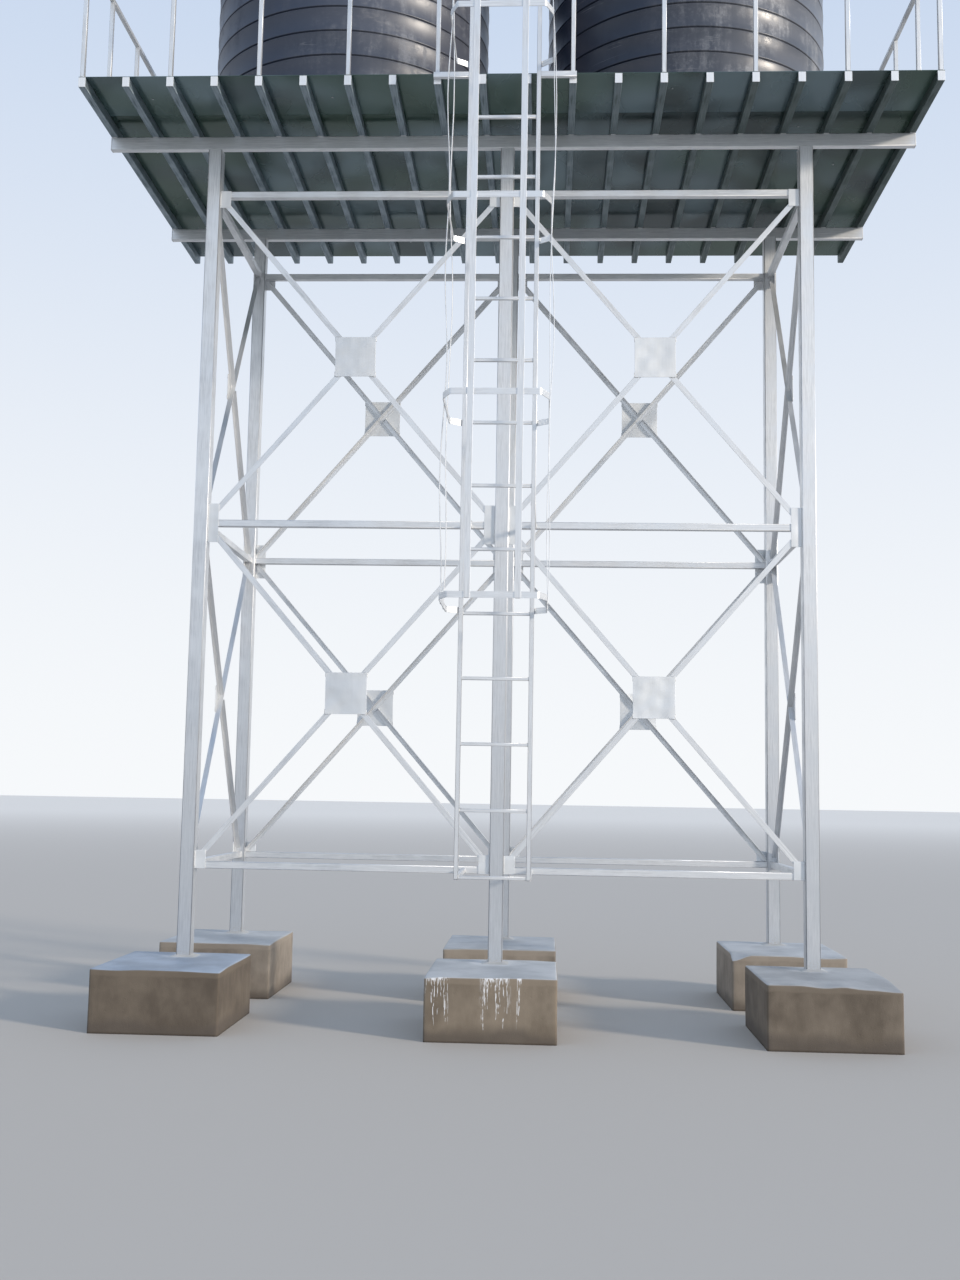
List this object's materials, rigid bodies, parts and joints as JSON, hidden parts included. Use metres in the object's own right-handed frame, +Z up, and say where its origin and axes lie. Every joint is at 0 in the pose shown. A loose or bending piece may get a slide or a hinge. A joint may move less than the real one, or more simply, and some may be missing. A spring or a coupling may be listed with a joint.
{
  "type": "water tower",
  "caption": "Braced steel tower on concrete pads with a joisted plate deck, guard rail, caged ladder and two round ribbed plastic water tanks.",
  "frame": {"origin": "under the middle of the tower's box, on the underside of the pads", "axes": "+Z up, X along the long side with the two tanks side by side, ladder on the -Y side"},
  "size_m": [6, 4.015, 9.386],
  "materials": {
    "silver_steel": "silver paint brushed on steel tube, satin, with pale weld marks",
    "deck_steel": "dark weathered steel sheet, satin underside",
    "concrete": "rough cast concrete with smooth pale screed on top",
    "tank_plastic": "black moulded plastic, satin, dusty"
  },
  "bodies": {
    "root": {"pad_front_left": "concrete", "pad_front_middle": "concrete", "pad_front_right": "concrete", "pad_back_left": "concrete", "pad_back_middle": "concrete", "pad_back_right": "concrete", "column_front_left": "silver_steel", "column_front_middle": "silver_steel", "column_front_right": "silver_steel", "column_back_left": "silver_steel", "column_back_middle": "silver_steel", "column_back_right": "silver_steel", "bracing_front_left": "silver_steel", "bracing_back_left": "silver_steel", "bracing_front_right": "silver_steel", "bracing_back_right": "silver_steel", "bracing_left_side": "silver_steel", "bracing_right_side": "silver_steel", "main_beam_front": "silver_steel", "main_beam_back": "silver_steel", "joist_01": "silver_steel", "joist_02": "silver_steel", "joist_03": "silver_steel", "joist_04": "silver_steel", "joist_05": "silver_steel", "joist_06": "silver_steel", "joist_07": "silver_steel", "joist_08": "silver_steel", "joist_09": "silver_steel", "joist_10": "silver_steel", "joist_11": "silver_steel", "joist_12": "silver_steel", "joist_13": "silver_steel", "joist_14": "silver_steel", "joist_15": "silver_steel", "joist_16": "silver_steel", "joist_17": "silver_steel", "joist_18": "silver_steel", "joist_19": "silver_steel", "joist_20": "silver_steel", "deck_plate": "deck_steel", "guard_rail": "silver_steel", "ladder": "silver_steel", "ladder_cage": "silver_steel", "tank_left_shell": "tank_plastic", "tank_left_roof": "tank_plastic", "tank_left_lid": "tank_plastic", "tank_right_shell": "tank_plastic", "tank_right_roof": "tank_plastic", "tank_right_lid": "tank_plastic"}
  },
  "joints": []
}
